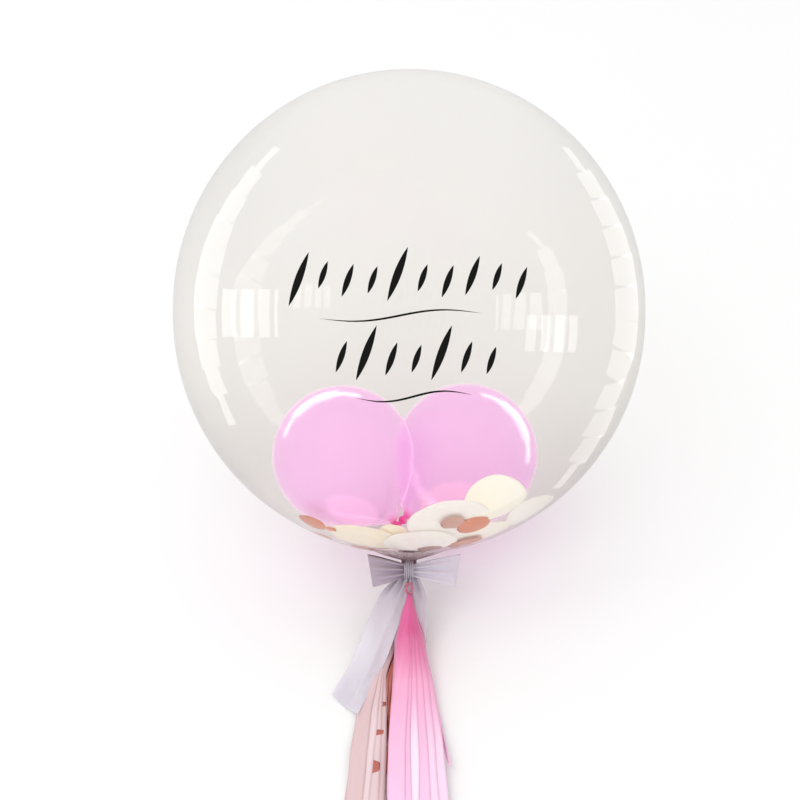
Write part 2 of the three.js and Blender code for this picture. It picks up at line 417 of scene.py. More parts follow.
def gather(point, crease):
    """Folds the film into pleats round its neck, with finer creases running up the bubble."""
    turn = math.atan2(point.x, point.y)
    start = BOTTOM * PLEATS_START
    fold = 0.0
    if TIE_TOP < point.z < start:
        share = ((start - point.z) / (start - TIE_TOP)) ** 2
        fold = PLEAT_DEPTH * math.sin(math.pi * share) * math.cos(PLEAT_COUNT * turn)
    radius = math.hypot(point.x, point.y)
    closeness = ease(-point.z, -BOTTOM * CREASES_START, -BOTTOM)
    fine = math.cos(31 * turn + 2 * math.sin(3 * turn)) + 0.6 * math.cos(47 * turn + 1)
    below = ease(-point.z, -TIE_END, SKIRT_LENGTH - TIE_END)
    ruffle = RUFFLE * below * math.cos(9 * turn + math.sin(2 * turn))
    grow = 1 + fold + (crease * closeness * fine + ruffle) / max(radius, TIE_RADIUS)
    return Vector((point.x * grow, point.y * grow, point.z))


def film_finish(settings):
    finish = Finish("stretched_film")
    facing = finish.facing()
    gathered = finish.marked("gathered")
    haze = finish.cloud(5.0, detail=4.0)
    # Painted shade: the shade mark makes the film darker and less clear towards its sides, more so low down.
    shade = finish.marked("shade")
    rim = facing**8.0
    factor = 0.03 + 0.02 * haze + 0.06 * facing**2.0 + 0.9 * rim + 0.5 * gathered + 0.09 * shade
    dull = finish.color(shade, (0.95, 0.945, 0.93), (0.42, 0.41, 0.38))
    dull = finish.color(rim, dull, settings.edge)
    # The gathered neck takes the painted shade colour.
    painted_neck_shade = finish.color(gathered, dull, settings.painted_neck_shade)
    slack = finish.bump(finish.cloud(7.0, detail=1.0), 0.10, 0.02)
    gloss = finish.surface(
        Base_Color=painted_neck_shade,
        Roughness=0.04 + 0.25 * gathered,
        IOR=1.6,
        Normal=slack,
        Metallic=0.85 - 0.7 * gathered,
    )
    return finish.finished(finish.see_through(factor, gloss, settings.tint))


class BALLOON_OT_film(bpy.types.Operator):
    """Makes the clear film, gathered at its neck"""

    bl_idname = "balloon.film"
    bl_label = "Film"

    def execute(self, context):
        settings = context.scene.balloon_film
        mesh = bmesh.new()
        gathered = mesh.verts.layers.float.new("gathered")
        shade = mesh.verts.layers.float.new("shade")
        spun(mesh, film_profile(settings.rings), settings.turns)
        for vertex in mesh.verts:
            vertex[gathered] = ease(-vertex.co.z, -BOTTOM * GATHERS_FROM, -BOTTOM * GATHERED_AT)
            # Painted shade, marked darker towards the film's sides and more so low down
            low = ease(-vertex.co.z, 0.02, 0.22)
            vertex[shade] = (0.45 + 0.55 * low) * ease(abs(vertex.co.x), 0.08, 0.22)
            vertex.co = LEANING @ gather(vertex.co, settings.crease)
            vertex.co.z = max(vertex.co.z, LOWEST_SHOWN)
        made = piece("bubble_film", mesh, film_finish(settings))
        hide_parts("bubble")
        return {"FINISHED"}


# The small balloons sealed inside


class InnerBalloonSettings(bpy.types.PropertyGroup):
    pastel: color_setting("Pastel", "Colour of the stretched latex", (1.0, 0.61, 0.97))
    deep: color_setting("Deep", "Colour of the unstretched latex at the knot", (0.86, 0.06, 0.34))
    left_radius: length_setting("Left radius", "Of the left balloon", 0.0830)
    right_radius: length_setting("Right radius", "Of the right balloon", 0.0872)


LATEX_TURNS = 96
LATEX_NECK = 0.0028  # radius
LATEX_KNOT = 0.008  # length
LATEX_LIP = ((0.0042, 0.0030), (0.0062, 0.0056), (0.0060, 0.0068), (0.0046, 0.0064))  # out and down

# Middles of the small balloons and their knots, in the bubble's frame
LEFT_MIDDLE = Vector((-0.0776, -0.038, -0.1737))
LEFT_KNOT = Vector((-0.0170, -0.012, -0.2540))
RIGHT_MIDDLE = Vector((0.0697, 0.048, -0.1750))
RIGHT_KNOT = Vector((-0.0050, 0.004, -0.2490))


def latex_profile(radius, reach):
    """A small balloon's outline from its crown to the rolled lip past its knot, towards -Z."""
    round_end = math.radians(118)
    rings = 40
    outline = []
    for ring in range(rings + 1):
        angle = round_end * ring / rings
        outline.append((radius * math.sin(angle), radius * math.cos(angle)))
    outline[0] = (0.0, radius)
    leave = Vector((*outline[-1], 0))
    along = Vector((math.cos(round_end), -math.sin(round_end), 0))
    slope_steps = 20
    shoulder = leave + along * 0.50 * radius
    throat = (2.2 * LATEX_NECK, -reach + 0.10 * radius, 0)
    slope = bezier((leave, shoulder, throat, (LATEX_NECK, -reach, 0)), slope_steps)
    outline += [(point.x, point.y) for point in slope[1:]]
    knot_steps = 12
    for step in range(1, knot_steps + 1):
        share = step / knot_steps
        bulge = LATEX_NECK * math.sin(math.pi * share) ** 0.7
        outline.append((LATEX_NECK + bulge, -reach - LATEX_KNOT * share))
    return outline + [(out, -reach - LATEX_KNOT - down) for out, down in LATEX_LIP]


def latex_finish(settings):
    finish = Finish("pink_latex")
    neck = finish.marked("neck")
    facing = finish.facing()
    cloud = finish.cloud(9.0, detail=2.0)
    # Painted reflection: the latex is painted paler towards its rim, where it is seen edge-on.
    rim = facing**6.0
    pale = tuple(mix(channel, 1.0, 0.75) for channel in settings.pastel)
    body = finish.color(0.15 * cloud + 1.1 * rim, settings.pastel, pale)
    color = finish.color(neck, body, settings.deep)
    # Painted glow: the latex gives out a little light of its own, pink in its middle, paler and stronger at
    # its rim and deep red at the knot.
    painted_glow = tuple(0.11 * channel for channel in settings.pastel)
    glow = finish.color(rim, painted_glow, tuple(0.40 * channel for channel in pale))
    skin = finish.surface(
        Base_Color=color,
        Roughness=0.22,
        IOR=1.5,
        Coat_Weight=0.8,
        Coat_Roughness=0.10,
        Emission_Color=finish.color(neck, glow, (0.10, 0.0, 0.03)),
        Emission_Strength=1.0,
        Normal=finish.bump(cloud, 0.05, 0.01),
    )
    factor = 0.35 + 0.55 * neck + 0.50 * rim
    return finish.finished(finish.see_through(factor, skin, (1.0, 0.82, 0.98)))


def make_inner_balloon(name, middle, knot, radius, material):
    mesh = bmesh.new()
    marks = mesh.verts.layers.float.new("neck")
    reach = (knot - middle).length
    spun(mesh, latex_profile(radius, reach), LATEX_TURNS)
    turn = (middle - knot).to_track_quat("Z", "Y").to_matrix().to_4x4()
    place = LEANING @ Matrix.Translation(middle) @ turn
    for vertex in mesh.verts:
        vertex[marks] = ease(-vertex.co.z, reach - 0.12 * radius, reach - 0.01 * radius)
        vertex.co = place @ vertex.co
    piece(name, mesh, material)


class BALLOON_OT_inner_balloons(bpy.types.Operator):
    """Makes the two small latex balloons inside the bubble"""

    bl_idname = "balloon.inner_balloons"
    bl_label = "Inner balloons"

    def execute(self, context):
        settings = context.scene.balloon_inner
        latex = latex_finish(settings)
        make_inner_balloon("inner_balloon_left", LEFT_MIDDLE, LEFT_KNOT, settings.left_radius, latex)
        make_inner_balloon("inner_balloon_right", RIGHT_MIDDLE, RIGHT_KNOT, settings.right_radius, latex)
        return {"FINISHED"}


# The loose discs sealed inside


class DiscSettings(bpy.types.PropertyGroup):
    cream: color_setting("Cream", "Cream tissue", (0.96, 0.90, 0.78))
    ivory: color_setting("Ivory", "Ivory tissue", (0.97, 0.95, 0.89))
    white: color_setting("White", "White tissue", (0.98, 0.965, 0.95))
    foil: color_setting("Foil", "Rose gold foil", (0.93, 0.35, 0.21))
    # Shaded foil is a darker copy of the foil: painted shade.
    shaded: color_setting("Shaded foil", "Foil turned from the light", (0.82, 0.50, 0.42))
    crumple: length_setting("Crumple", "Depth of the creases", 0.0012)


# A disc lies against the inside of the film. turn is its place round the neck's line, in degrees from
# the side with the strokes, and climb is how far up the film it lies, in degrees from the neck. lift is
# how far it stands off the film, lean how much it turns from the film towards the front, from 0 to 1,
# dome how much its middle bulges, and curl how much its sides do.
Disc = namedtuple("Disc", "name stuff turn climb radius lift lean dome curl")
DISC_THICKNESS = 0.0002
DISC_CLEARANCE = 0.001
DISCS = (
    Disc("disc_cream_left", "cream", -30, 21, 0.042, 0.0040, 0.05, 0.002, 0.001),
    Disc("disc_cream_small", "cream", -9, 24.5, 0.016, 0.0070, 0.10, 0.001, 0.001),
    Disc("disc_white", "white", 18, 30.0, 0.047, 0.0070, 0.05, 0.002, 0.001),
    Disc("disc_white_low", "white", 8, 18.5, 0.043, 0.0020, 0.06, 0.003, 0.002),
    Disc("disc_ivory_right", "ivory", 35, 37, 0.037, 0.0035, 0.70, -0.003, 0.004),
    Disc("disc_white_right", "white", 66, 33, 0.032, 0.0060, 0.20, 0.002, 0.001),
    Disc("disc_cream_rim", "cream", -58, 13, 0.036, 0.0060, 0.0, 0.002, 0.001),
    Disc("disc_ivory_rim", "ivory", 50, 22, 0.038, 0.0055, 0.1, 0.002, 0.001),
    Disc("disc_white_rim", "white", 176, 8, 0.044, 0.0020, 0.0, 0.002, 0.001),
    Disc("disc_foil_left", "foil", -51, 30, 0.0170, 0.0015, 0.05, 0.001, 0.001),
    Disc("disc_foil_small", "foil", -43, 27.3, 0.0065, 0.0010, 0.0, 0.0, 0.0),
    Disc("disc_foil_rim_a", "foil", -88, 21, 0.0125, 0.0010, 0.0, 0.001, 0.001),
    Disc("disc_foil_rim_b", "foil", -80, 10.5, 0.018, 0.0010, 0.0, 0.001, 0.001),
    Disc("disc_foil_neck", "shaded", 10, 4.5, 0.017, 0.0015, 0.12, 0.001, 0.001),
    Disc("disc_foil_behind", "shaded", 19, 31.2, 0.0140, 0.0012, 0.0, 0.001, 0.001),
    Disc("disc_foil_bright", "foil", 31, 29.5, 0.0195, 0.0015, 0.05, 0.001, 0.001),
    Disc("disc_foil_low", "shaded", 21, 13.5, 0.0150, 0.0010, 0.05, 0.001, 0.001),
    Disc("disc_foil_right", "foil", 47, 18, 0.0210, 0.0010, 0.0, 0.001, 0.001),
    Disc("disc_cream_back", "cream", 160, 34, 0.040, 0.0020, 0.0, 0.003, 0.001),
    Disc("disc_white_back", "white", -150, 30, 0.036, 0.0020, 0.0, 0.003, 0.001),
)


def tissue_disc_finish(name, color, opacity, yellowing=(0.99, 0.965, 0.92)):
    finish = Finish(name)
    crumple = finish.cloud(60.0, detail=5.0)
    broad = finish.cloud(14.0, detail=2.0)
    warm = tuple(channel * shade for channel, shade in zip(color, yellowing))
    # Painted glow: the tissue gives out a little light of its own, in its own colour.
    painted_glow = tuple(0.09 * channel for channel in color)
    paper = finish.surface(
        Base_Color=finish.color(broad, color, warm),
        Roughness=0.85,
        Alpha=opacity + 0.05 * broad,
        Sheen_Weight=0.2,
        Emission_Color=(*painted_glow, 1.0),
        Emission_Strength=1.0,
        Normal=finish.bump(crumple + 1.5 * broad, 0.60, 0.002),
    )
    return finish.finished(paper)


def foil_finish(name, color, roughness=0.26):
    finish = Finish(name)
    crinkle = finish.cloud(90.0, detail=4.0)
    broad = finish.cloud(22.0, detail=2.0)
    deep = tuple(0.62 * channel for channel in color)
    metal = finish.surface(
        Base_Color=finish.color(broad, color, deep),
        Metallic=0.92,
        Roughness=roughness + 0.12 * crinkle,
        Normal=finish.bump(crinkle, 0.30, 0.002),
    )
    return finish.finished(metal)


def kept_inside(point, stand, inner_balloons):
    """The point moved clear of the small balloons and back inside the film, by at least stand."""
    for middle, radius in inner_balloons:
        away = point - middle
        if away.length < radius + DISC_CLEARANCE:
            point = middle + away.normalized() * (radius + DISC_CLEARANCE)
    room = film_reach(point.angle(UP)) - stand
    return point.normalized() * min(point.length, room)


def make_disc(disc, material, crumple, inner_balloons):
    turn = math.radians(disc.turn)
    climb = math.radians(disc.climb)
    outward = Vector((math.sin(climb) * math.sin(turn), -math.sin(climb) * math.cos(turn), -math.cos(climb)))
    front = Vector((0, -1, 0))
    facing = outward.lerp(front, disc.lean).normalized()
    sideways = Vector((math.cos(turn), math.sin(turn), 0))
    sideways = (sideways - facing * sideways.dot(facing)).normalized()
    upwards = facing.cross(sideways).normalized()
    middle = outward * (film_reach(math.pi - climb) - disc.lift)
    seed = Vector((disc.turn, disc.climb, 7.0))
    mesh = bmesh.new()
    rings = 14
    turns = 48
    spun(mesh, [(disc.radius * ring / rings, 0) for ring in range(rings + 1)], turns)
    for vertex in mesh.verts:
        aside, ahead = vertex.co.x / disc.radius, vertex.co.y / disc.radius
        out = math.hypot(aside, ahead)
        flat = middle + sideways * vertex.co.x + upwards * vertex.co.y
        bulge = disc.dome * (1 - out**2) - disc.curl * aside**2
        bulge += 0.4 * crumple * math.sin(5 * aside + 2 * ahead + disc.turn)
        bulge += crumple * noise.noise(flat * 40 + seed) + 0.4 * crumple * noise.noise(flat * 120 + seed)
        stand = disc.lift * 0.5 + 0.4 * crumple * (1 + noise.noise(flat * 60 + seed))
        vertex.co = LEANING @ kept_inside(flat + facing * bulge, stand, inner_balloons)
    slot = "confetti_foil" if disc.stuff in ("foil", "shaded") else "confetti_tissue"
    made = piece(disc.name, mesh, material)
    give_thickness(made, DISC_THICKNESS)


class BALLOON_OT_discs(bpy.types.Operator):
    """Makes the tissue and foil discs that lie loose in the bubble"""

    bl_idname = "balloon.discs"
    bl_label = "Discs"

    def execute(self, context):
        settings = context.scene.balloon_discs
        stuffs = {
            "cream": tissue_disc_finish("cream_tissue", settings.cream, 0.90, (0.98, 0.92, 0.80)),
            "ivory": tissue_disc_finish("ivory_tissue", settings.ivory, 0.92, (0.98, 0.93, 0.82)),
            "white": tissue_disc_finish("white_tissue", settings.white, 0.82),
            "foil": foil_finish("disc_foil", settings.foil),
            # The shaded foil is painted shade, a darker copy of the foil.
            "shaded": foil_finish("shaded_disc_foil", settings.shaded),
        }
        inner = context.scene.balloon_inner
        inner_balloons = ((LEFT_MIDDLE, inner.left_radius), (RIGHT_MIDDLE, inner.right_radius))
        for disc in DISCS:
            make_disc(disc, stuffs[disc.stuff], settings.crumple, inner_balloons)
        return {"FINISHED"}


# The strokes on the front


class StrokeSettings(bpy.types.PropertyGroup):
    ink: color_setting("Ink", "Colour of the strokes", (0.0015, 0.0015, 0.0015))
    stand_off: length_setting("Stand-off", "From the film", 0.0003)


# Strokes are given in metres, as seen from the front, from the bubble's middle. A row has its first
# stroke's middle, the step from one to the next, and the strokes' lengths.
StrokeRow = namedtuple("StrokeRow", "name right up step lengths")
STROKE_ROWS = (
    StrokeRow(
        "strokes_upper",
        right=-0.118,
        up=0.020,
        step=0.0262,
        lengths=(0.060, 0.030, 0.036, 0.030, 0.060, 0.030, 0.036, 0.044, 0.030, 0.036),
    ),
    StrokeRow(
        "strokes_lower",
        right=-0.072,
        up=-0.062,
        step=0.0262,
        lengths=(0.034, 0.060, 0.036, 0.030, 0.060, 0.034, 0.030),
    ),
)
STROKE_SLOPE = math.radians(68)
STROKE_BEND = 0.0006
STROKE_THICKNESS = 0.0001
WAVES = ((-0.010, -0.0195, 0.170, 0.0045), (0.004, -0.1030, 0.120, 0.0045))  # right, up, length, bend
WAVE_SLOPE = 0.03
WAVE_WIDTH = 0.0022


def stroke_finish(settings):
    finish = Finish("black_vinyl")
    cloud = finish.cloud(120.0, detail=3.0)
    lighter = tuple(0.002 + channel for channel in settings.ink)
    vinyl = finish.surface(
        Base_Color=finish.color(cloud, settings.ink, lighter),
        Roughness=0.55 + 0.1 * cloud,
        Specular_IOR_Level=0.12,
        Normal=finish.bump(cloud, 0.10, 0.0004),
    )
    return finish.finished(vinyl)


def add_stroke(mesh, middle, length, slope, waves, bend, width, stand_off):
    """A tapered stroke that lies on the film, its middle and slope as seen from the front. It bends to
    both sides, in as many half waves as waves says."""
    along = Vector((math.cos(slope), math.sin(slope)))
    aside = Vector((-along.y, along.x))

    def centre(v):
        return middle + along * (v - 0.5) * length + aside * math.sin(waves * math.pi * (v - 0.5)) * bend

    def place(u, v):
        ahead = (centre(min(v + 0.01, 1.0)) - centre(max(v - 0.01, 0.0))).normalized()
        taper = max(math.sin(math.pi * v) ** 0.8, 0.05)
        flat = centre(v) + Vector((-ahead.y, ahead.x)) * (u - 0.5) * width * taper
        towards = math.sqrt(film_reach(math.pi / 2) ** 2 - flat.length_squared)
        point = Vector((flat.x, -towards, flat.y))
        reach = film_reach(point.angle(UP)) + stand_off
        return LEANING @ (point.normalized() * reach)

    add_grid(mesh, 4, 40, place)


class BALLOON_OT_strokes(bpy.types.Operator):
    """Makes the two rows of tapered black strokes on the film"""

    bl_idname = "balloon.strokes"
    bl_label = "Strokes"

    def execute(self, context):
        settings = context.scene.balloon_strokes
        vinyl = stroke_finish(settings)
        for row in STROKE_ROWS:
            mesh = bmesh.new()
            for index, length in enumerate(row.lengths):
                middle = Vector((row.right + index * row.step, row.up + 0.004 * math.sin(1.9 * index)))
                width = 0.0040 + 0.070 * length
                add_stroke(mesh, middle, length, STROKE_SLOPE, 1, STROKE_BEND, width, settings.stand_off)
            give_thickness(piece(row.name, mesh, vinyl), STROKE_THICKNESS)
        mesh = bmesh.new()
        for right, up, length, bend in WAVES:
            add_stroke(mesh, Vector((right, up)), length, WAVE_SLOPE, 2, bend, WAVE_WIDTH, settings.stand_off)
        give_thickness(piece("stroke_waves", mesh, vinyl), STROKE_THICKNESS)
        return {"FINISHED"}


# The ribbon


class RibbonSettings(bpy.types.PropertyGroup):
    width: length_setting("Width", "Of the ribbon", 0.038)
    thickness: length_setting("Thickness", "Of the ribbon", 0.0003)
    left_loop: length_setting("Left loop", "From the knot to the fold", 0.046)
    right_loop: length_setting("Right loop", "From the knot to the fold", 0.058)
    loop_puff: length_setting("Loop puff", "Half of a loop's depth", 0.009)
    satin: color_setting("Satin", "Colour of the ribbon", (0.35, 0.255, 0.345))
    sheer: color_setting("Sheer", "Colour where light comes through", (0.82, 0.78, 0.86))


LOOP_PLEATS = 3
LOOP_STEPS = 72
TIED_WIDTH = 0.0125  # of a loop at the knot
LOOP_TILT = 0.17
RING_PLEATS = 5
RING_WIDTH_KEPT = 0.80  # share of the ribbon's width in a ring's pleats
KNOT_SEMI_AXES = (0.0062, 0.0088)
KNOT_WIDTH = 0.0112
BAND_WIDTH = 0.014
TAIL_REACH = 0.140
TAIL_TIED_WIDTH = 0.0110  # of a tail at the knot


def developed(width, height, waves):
    """Length of a wave of that height and width, as often as waves says."""
    steps = 24
    total = 0.0
    last = (0.0, 0.0)
    for step in range(1, steps + 1):
        here = (width / waves * step / steps, height * math.sin(2 * math.pi * step / steps))
        total += math.dist(last, here)
        last = here
    return total * waves


def pleat_height(width, flat, waves):
    """How high even pleats stand when they take a ribbon's flat width into a gathered one."""
    low, high = 0.0, flat
    for _ in range(24):
        middle = (low + high) / 2
        if developed(width, middle, waves) < flat:
            low = middle
        else:
            high = middle
    return low


def satin_finish(settings):
    finish = Finish("sheer_satin")
    threads = finish.places(source="UV")
    across = finish.lines(900.0, "X", threads)
    along = finish.lines(1400.0, "Y", threads)
    weave = across * along
    cloud = finish.cloud(30.0, detail=2.0)
    # Painted light: where the sheer mark is high the satin is painted pale, as light coming through it, and
    # it is also more see-through.
    sheer = finish.marked("sheer")
    light = tuple(mix(channel, 1.0, 0.35) for channel in settings.satin)
    sheen = finish.color(0.3 * weave + 0.5 * cloud, settings.satin, light)
    cloth = finish.surface(
        Base_Color=finish.color(sheer, sheen, settings.sheer),
        Roughness=0.42 + 0.1 * weave,
        Alpha=0.88 + 0.06 * weave - 0.32 * sheer,
        Sheen_Weight=0.08,
        Sheen_Roughness=0.4,
        Normal=finish.bump(weave, 0.15, 0.0003),
    )
    return finish.finished(cloth)


def ribbon_piece(name, settings, satin, waves, steps, place, length, light_through, ring=False):
    """A length of ribbon whose vertices go where place(u, v) says. light_through is how much light comes
    through, as a number or f(u, v): it makes the ribbon more see-through and paints it paler, a painted
    light. A ring's two ends are joined."""
    mesh = bmesh.new()
    sheer = mesh.verts.layers.float.new("sheer")
    add_grid(mesh, 12 * waves, steps, place, (settings.width, length), {sheer: light_through})
    if ring:
        bmesh.ops.remove_doubles(mesh, verts=mesh.verts, dist=1e-5)
    made = piece(name, mesh, satin, closed=False)
    give_thickness(made, settings.thickness)
    return made


def ribbon_strip(name, route, settings, satin, waves, shape, steps, share=1.0, ring=False, light_through=0.0):
    """A length of ribbon along a route. shape(v) gives its gathered width there, the direction that
    its width takes and the direction that it faces, and share is how much of its width the pleats keep."""
    rows = {}
    for step in range(steps + 1):
        width, _, _ = shape(step / steps)
        rows[step] = pleat_height(width, max(settings.width * share, width), waves)

    def place(u, v):
        point, _ = route.at(v)
        width, aside, face = shape(v)
        height = rows[round(v * steps)] * math.sin(2 * math.pi * waves * u)
        return point + aside * (u - 0.5) * width + face * height

    return ribbon_piece(name, settings, satin, waves, steps, place, route.length, light_through, ring)


def loop_route(length, puff):
    """A loop of the bow seen from above: out along the front, round the fold and back behind."""
    side = math.copysign(1, length)
    start = 0.002 * side
    bulge = 0.4 * length
    out = bezier(((start, 0, 0), (bulge, -puff, 0), (length, -1.5 * puff, 0), (length, 0, 0)), 32)
    back = [Vector((point.x, -point.y, 0)) for point in reversed(out)]
    return [KNOT_MIDDLE + point for point in out + back[1:]]


def make_bow_loop(name, length, settings, satin, light_through):
    route = Route(loop_route(length, settings.loop_puff))

    def shape(v):
        point, along = route.at(v)
        out = abs(point.x / length)
        width = mix(TIED_WIDTH, settings.width, clamp((out - 0.04) / 0.94) ** 0.9)
        aside = Vector((LOOP_TILT * out * math.copysign(1, length), 0, 1))
        return width, TURNED @ aside, TURNED @ along.cross(UP).normalized()

    mesh_route = Route([LEANING @ point for point in route.points])
    made = ribbon_strip(name, mesh_route, settings, satin, LOOP_PLEATS, shape, LOOP_STEPS, light_through=light_through)


def make_ring(name, middle, axis, semi_axes, width, settings, satin):
    """Ribbon wrapped round as a flattened ring about an axis, in the bubble's frame."""
    first = axis.orthogonal().normalized()
    if abs(axis.x) > 0.5:
        first = Vector((0, 1, 0))
    second = axis.cross(first)
    count = 60
    points = []
    for step in range(count + 1):
        angle = 2 * math.pi * step / count
        flat = first * math.cos(angle) * semi_axes[0] + second * math.sin(angle) * semi_axes[1]
        points.append(LEANING @ (middle + flat))
    route = Route(points)
    centre = LEANING @ middle

    def shape(v):
        point, _ = route.at(v)
        return width, TURNED @ axis, (point - centre).normalized()

    share = RING_WIDTH_KEPT
    # Painted light: the knot and the band are painted pale, as light coming through them.
    made = ribbon_strip(name, route, settings, satin, RING_PLEATS, shape, count, share, ring=True, light_through=0.75)
    return made


def draped(head, tip, base):
    """A line that leaves a head, comes down to a base height at the landing and goes on to its tip."""
    points = []
    steps = 80
    for step in range(steps + 1):
        point = head.lerp(tip, step / steps)
        to_go = (point.y - LANDING_Y) / (head.y - LANDING_Y)
        if to_go > 0:
            point.z = base + (head.z - base) * to_go**2
        else:
            point.z = mix(base, tip.z, (LANDING_Y - point.y) / (LANDING_Y - tip.y))
        points.append(point)
    return points


def seen_height(point):
    """How far up a point shows in the view square to the bubble's axis."""
    return (point.y + point.z) * math.sqrt(0.5)


def make_tail(name, settings, satin, start, across, height, cut, wander):
    """A tail of the bow. start is where it leaves the knot, across how far its tip is from there, height
    what it lies on, cut how much longer one side of its end is, and wander how far it sways."""
    head = lying(start, KNOT_MIDDLE.y + 0.003, TIE_HEIGHT - 0.3 * KNOT_HEIGHT)
    level = height + 0.0006
    tip = Vector((head.x + across, head.y - TAIL_REACH, level))
    points = draped(head, tip, level)
    for point in points:
        down = (seen_height(head) - seen_height(point)) / (seen_height(head) - seen_height(tip))
        point.x = head.x + across * down
    route = Route(points)
    steps = 90
    waves = 3

    rows = {}
    for step in range(steps + 1):
        width = mix(TAIL_TIED_WIDTH, settings.width, ease(step / steps, -0.04, 0.20) ** 0.7)
        rows[step] = (width, pleat_height(width, settings.width, waves))

    def place(u, v):
        width, high = rows[round(v * steps)]
        skew = cut * (u - 0.5) * ease(v, 0.6, 1.0) * settings.width
        point, along = route.at(v)
        aside = along.cross(UP).normalized()
        face = aside.cross(along)
        sway = wander * ease(v, 0.0, 0.4) * math.sin(2.2 * math.pi * v + 0.4)
        fold = high * math.sin(2 * math.pi * waves * u)
        crease = 0.0022 * math.exp(-((u - 0.36) * 9) ** 2) * ease(v, 0.1, 0.3)
        roll = 0.0030 * ease(v, 0.2, 0.5) * (1 + math.sin(2 * math.pi * (0.9 * u + 1.3 * v)))
        spot = point + aside * ((u - 0.5) * width + sway) + along * skew + face * (fold + roll + crease)
        spot.z = max(spot.z, LOWEST_SHOWN)
        return spot

    # Painted light: the tails are painted paler towards their ends, as light coming through them, and grow
    # more see-through there.
    def light_through(u, v):
        return 0.40 + 0.60 * ease(v, 0.05, 0.6)

    made = ribbon_piece(name, settings, satin, waves, steps, place, route.length, light_through)


class BALLOON_OT_ribbon(bpy.types.Operator):
    """Makes the satin ribbon: the band, the knot, two loops and two tails"""

    bl_idname = "balloon.ribbon"
    bl_label = "Ribbon bow"

    def execute(self, context):
        settings = context.scene.balloon_ribbon
        satin = satin_finish(settings)
        # Painted light: the right loop is painted much paler than the left, as more light through it.
        make_bow_loop("ribbon_left_loop", -settings.left_loop, settings, satin, light_through=0.05)
        make_bow_loop("ribbon_right_loop", settings.right_loop, settings, satin, light_through=0.90)
        across = Vector((1, 0, 0))
        knot = make_ring("ribbon_knot", KNOT_MIDDLE, across, KNOT_SEMI_AXES, KNOT_WIDTH, settings, satin)
        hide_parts("ribbon_bow")
        round_neck = (TIE_RADIUS + GAP + 0.0016,) * 2
        make_ring("ribbon_band", Vector((0, 0, TIE_HEIGHT)), UP, round_neck, BAND_WIDTH, settings, satin)
        make_tail(
            "ribbon_side_tail",
            settings,
            satin,
            start=-0.0030,
            across=-0.070,
            height=0.0,
            cut=-0.45,
            wander=0.002,
        )
        make_tail(
            "ribbon_straight_tail",
            settings,
            satin,
            start=0.0030,
            across=-0.004,
            height=0.0028,
            cut=0.2,
            wander=0.001,
        )
        return {"FINISHED"}


# The tassels


class TasselSettings(bpy.types.PropertyGroup):
    paper: length_setting("Paper", "Thickness of the tissue", 0.00015)
    # Deep pink at the head is painted shade of the layered, twisted tissue.
    pink_deep: color_setting("Deep pink", "Pink tissue at the head", (0.64, 0.060, 0.24))
    pink_mid: color_setting("Pink", "Pink tissue", (0.86, 0.36, 0.57))
    pink_pale: color_setting("Pale pink", "Pink tissue at the tips", (0.93, 0.56, 0.80))
    blush: color_setting("Blush", "Blush tissue", (0.68, 0.485, 0.495))
    beige: color_setting("Beige", "Beige tissue", (0.60, 0.50, 0.46))
    copper: color_setting("Copper", "Rose gold foil", (0.72, 0.24, 0.20))
    pink_foil: color_setting("Pink foil", "Foil of the front loop", (0.72, 0.20, 0.30))


# A tassel spreads over the floor between two outer lines. Each station is a distance forward of its
# head and where the outer lines are there, to the left and to the right, in metres from X = 0.
PINK_LINES = (
    (0.000, -0.0024, 0.0024),
    (0.020, -0.0105, 0.0105),
    (0.042, -0.0170, 0.0186),
    (0.094, -0.0200, 0.0290),
    (0.176, -0.0240, 0.0380),
    (0.276, -0.0240, 0.0445),
    (0.385, -0.0220, 0.0500),
)
BLUSH_LINES = (
    (0.000, -0.0085, -0.0048),
    (0.030, -0.0170, -0.0070),
    (0.075, -0.0290, -0.0170),
    (0.110, -0.0440, -0.0265),
    (0.161, -0.0600, -0.0260),
    (0.229, -0.0680, -0.0270),
    (0.279, -0.0730, -0.0280),
    (0.372, -0.0790, -0.0300),
)
FOIL_LINES = (
    (0.000, 0.0040, 0.0080),
    (0.040, -0.0080, 0.0060),
    (0.110, -0.0310, -0.0130),
    (0.150, -0.0320, -0.0200),
    (0.200, -0.0340, -0.0190),
    (0.350, -0.0400, -0.0220),
)
STRAY_LINES = (
    (0.000, 0.0012, 0.0024),
    (0.040, 0.0160, 0.0175),
    (0.110, 0.0290, 0.0310),
    (0.150, 0.0350, 0.0372),
    (0.205, 0.0440, 0.0452),
)
PINK_REACH, BLUSH_REACH, FOIL_REACH, STRAY_REACH = (
    lines[-1][0] for lines in (PINK_LINES, BLUSH_LINES, FOIL_LINES, STRAY_LINES)
)
PINK_BASE = 0.0044  # how high the pink tassel lies over the floor, on what is under it
LOOP_TUBE = 0.0014
FRONT_LOOP = (0.0035, 0.0065)

# A deck is a row of strips that overlap like shingles: how many, their width, how high the deck lies
# on the floor, and how much the strips lean. rounding is +1 on top of the head and -1 below it.
Deck = namedtuple("Deck", "count width height lean rounding")
PINK_DECKS = (
    Deck(7, 0.017, 0.0005, 0.09, -1),
    Deck(7, 0.017, 0.0034, 0.09, 0.4),
    Deck(6, 0.018, 0.0063, 0.09, 1),
)
BLUSH_DECKS = (Deck(4, 0.019, 0.0014, 0.06, -1), Deck(4, 0.018, 0.0040, 0.06, 1))
FOIL_DECKS = (Deck(3, 0.006, 0.0004, 0.05, -1), Deck(3, 0.006, 0.0012, 0.05, 1))
STRAY_DECK = Deck(1, 0.004, 0.0040, 0.05, 0.0)

